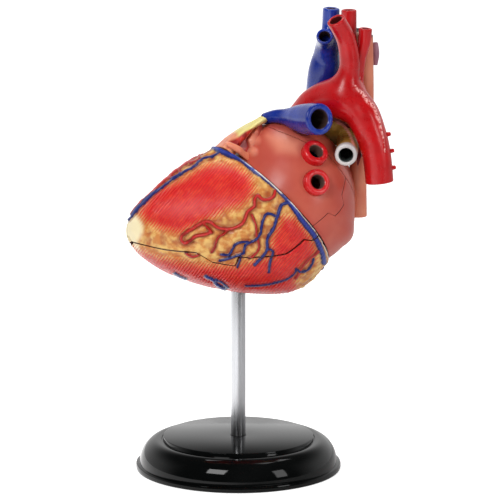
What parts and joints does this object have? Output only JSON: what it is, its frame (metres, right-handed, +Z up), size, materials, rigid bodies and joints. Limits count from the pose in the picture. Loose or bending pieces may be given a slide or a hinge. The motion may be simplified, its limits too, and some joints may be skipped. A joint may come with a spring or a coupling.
{
  "type": "human heart anatomy model",
  "caption": "Take-apart human heart model with painted chambers, cut great vessels and coronary relief, held on a slim metal rod over a round gloss-black base.",
  "frame": {"origin": "centre of the base's underside, on the rod's axis", "axes": "+Z up along the rod; -Y is the heart's left side, which faces the picture's camera; +X is the heart's back"},
  "size_m": [0.1165, 0.09, 0.2013],
  "materials": {
    "gloss_black": "gloss",
    "satin_rod": "satin",
    "muscle_red": "satin paint, with red muscle, tan fat, blue veins and red arteries painted on relief",
    "inner_muscle": "satin paint",
    "valve_cream": "satin paint",
    "plate_tan": "satin paint",
    "atrium_salmon": "satin paint, salmon with a tan edge",
    "auricle_peach": "satin paint",
    "conus_yellow": "satin paint, yellow above and peach below",
    "artery_red": "satin paint",
    "vein_blue": "satin paint",
    "airway_white": "satin paint, with a grey mouth",
    "gullet_peach": "satin paint",
    "azygos_mauve": "satin paint"
  },
  "bodies": {
    "stand": {"stand_base": "gloss_black", "base_floor": "gloss_black"},
    "rod": {"stand_rod": "satin_rod"},
    "heart_core": {"inferior_wall": "muscle_red", "ventricular_septum": "inner_muscle", "valve_plate": "plate_tan", "mitral_valve": "valve_cream", "tricuspid_valve": "valve_cream", "aortic_valve": "valve_cream", "mitral_papillary_muscles": "inner_muscle", "tricuspid_papillary_muscles": "inner_muscle", "atrial_back_wall": "atrium_salmon", "atrial_septum": "atrium_salmon", "right_pulmonary_veins": "artery_red", "inferior_vena_cava": "vein_blue"},
    "left_ventricle": {"left_ventricle_wall": "muscle_red"},
    "right_ventricle": {"right_ventricle_wall": "muscle_red", "pulmonary_conus": "conus_yellow"},
    "left_atrium": {"left_atrium_wall": "atrium_salmon", "left_auricle": "auricle_peach", "left_upper_pulmonary_vein": "artery_red", "left_lower_pulmonary_vein": "artery_red"},
    "right_atrium": {"right_atrium_wall": "atrium_salmon", "right_auricle": "auricle_peach"},
    "great_vessels": {"atrial_roof": "atrium_salmon", "aortic_arch": "artery_red", "brachiocephalic_artery": "artery_red", "left_carotid_artery": "artery_red", "left_subclavian_artery": "artery_red", "rib_artery_stubs": "artery_red", "pulmonary_trunk": "vein_blue", "right_pulmonary_artery": "vein_blue", "superior_vena_cava": "vein_blue", "left_brachiocephalic_vein": "vein_blue", "trachea": "airway_white", "right_bronchus": "airway_white", "oesophagus": "gullet_peach", "azygos_vein": "azygos_mauve"}
  },
  "joints": [
    {"name": "rod_lift", "type": "slide", "parent": "stand", "child": "rod", "axis": [0, 0, 1], "range_m": [0, 0.016]},
    {"name": "heart_turn", "type": "hinge", "parent": "rod", "child": "heart_core", "pos_m": [0, 0, 0.09], "axis": [0, 0, 1], "continuous": true},
    {"name": "left_ventricle_off", "type": "slide", "parent": "heart_core", "child": "left_ventricle", "axis": [0.2671, -0.9285, 0.258], "range_m": [0, 0.04]},
    {"name": "right_ventricle_off", "type": "slide", "parent": "heart_core", "child": "right_ventricle", "axis": [-0.2671, 0.9285, -0.258], "range_m": [0, 0.04]},
    {"name": "left_atrium_off", "type": "slide", "parent": "heart_core", "child": "left_atrium", "axis": [0.2671, -0.9285, 0.258], "range_m": [0, 0.03]},
    {"name": "right_atrium_off", "type": "slide", "parent": "heart_core", "child": "right_atrium", "axis": [-0.2671, 0.9285, -0.258], "range_m": [0, 0.03]},
    {"name": "great_vessels_off", "type": "slide", "parent": "heart_core", "child": "great_vessels", "axis": [0.6679, 0.3714, 0.645], "range_m": [0, 0.045]}
  ]
}
